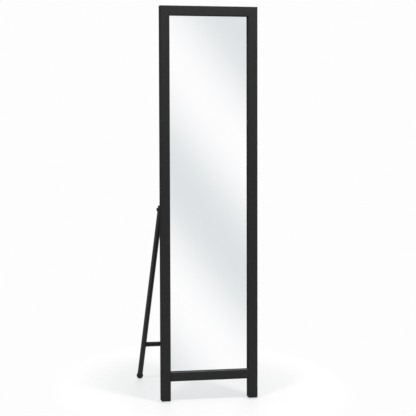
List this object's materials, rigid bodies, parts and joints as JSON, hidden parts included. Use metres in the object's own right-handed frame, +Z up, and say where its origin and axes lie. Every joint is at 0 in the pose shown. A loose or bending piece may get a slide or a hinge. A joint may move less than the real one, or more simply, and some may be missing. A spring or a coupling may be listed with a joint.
{
  "type": "freestanding mirror",
  "caption": "Tall narrow full-length floor mirror in a slim black square-tube frame that leans back on a folding rear stand of round tubes with ball feet.",
  "frame": {"origin": "on the floor, in the middle of the footprint, below the middle of the overall box", "axes": "+Z up, +X to the right seen from the front, +Y to the back, so the mirror faces -Y and leans back towards +Y"},
  "size_m": [0.5116, 0.3194, 1.5799],
  "materials": {
    "powder_coat": "matte black powder coat",
    "black_plastic": "moulded, fine texture",
    "rubber": "matte",
    "mirror": "silvered glass",
    "foam_tape": "foam",
    "fibreboard": "plain fibreboard",
    "zinc_steel": "zinc plated",
    "black_steel": "black oxide",
    "nylon": "black nylon"
  },
  "bodies": {
    "frame": {"left_post": "powder_coat", "right_post": "powder_coat", "top_rail": "powder_coat", "bottom_rail": "powder_coat", "left_hinge_bracket": "powder_coat", "right_hinge_bracket": "powder_coat", "panel_lugs": "powder_coat", "left_foot_cap": "black_plastic", "right_foot_cap": "black_plastic", "setting_blocks": "rubber", "mirror_glass": "mirror", "mirror_tape": "foam_tape", "back_panel": "fibreboard", "panel_screws": "zinc_steel", "rivet_nuts": "zinc_steel", "hinge_nuts": "zinc_steel", "hinge_washers": "zinc_steel", "bracket_screws": "black_steel", "hinge_bolts": "black_steel"},
    "stand": {"left_leg": "powder_coat", "right_leg": "powder_coat", "stand_crossbar": "powder_coat", "left_saddles": "nylon", "right_saddles": "nylon", "left_leg_plug": "black_plastic", "right_leg_plug": "black_plastic", "left_ball_foot": "rubber", "right_ball_foot": "rubber"}
  },
  "joints": [
    {"name": "stand_fold", "type": "hinge", "parent": "frame", "child": "stand", "pos_m": [0, 0.01335, 0.76412], "axis": [-1, 0, 0], "range_deg": [0, 19]}
  ]
}
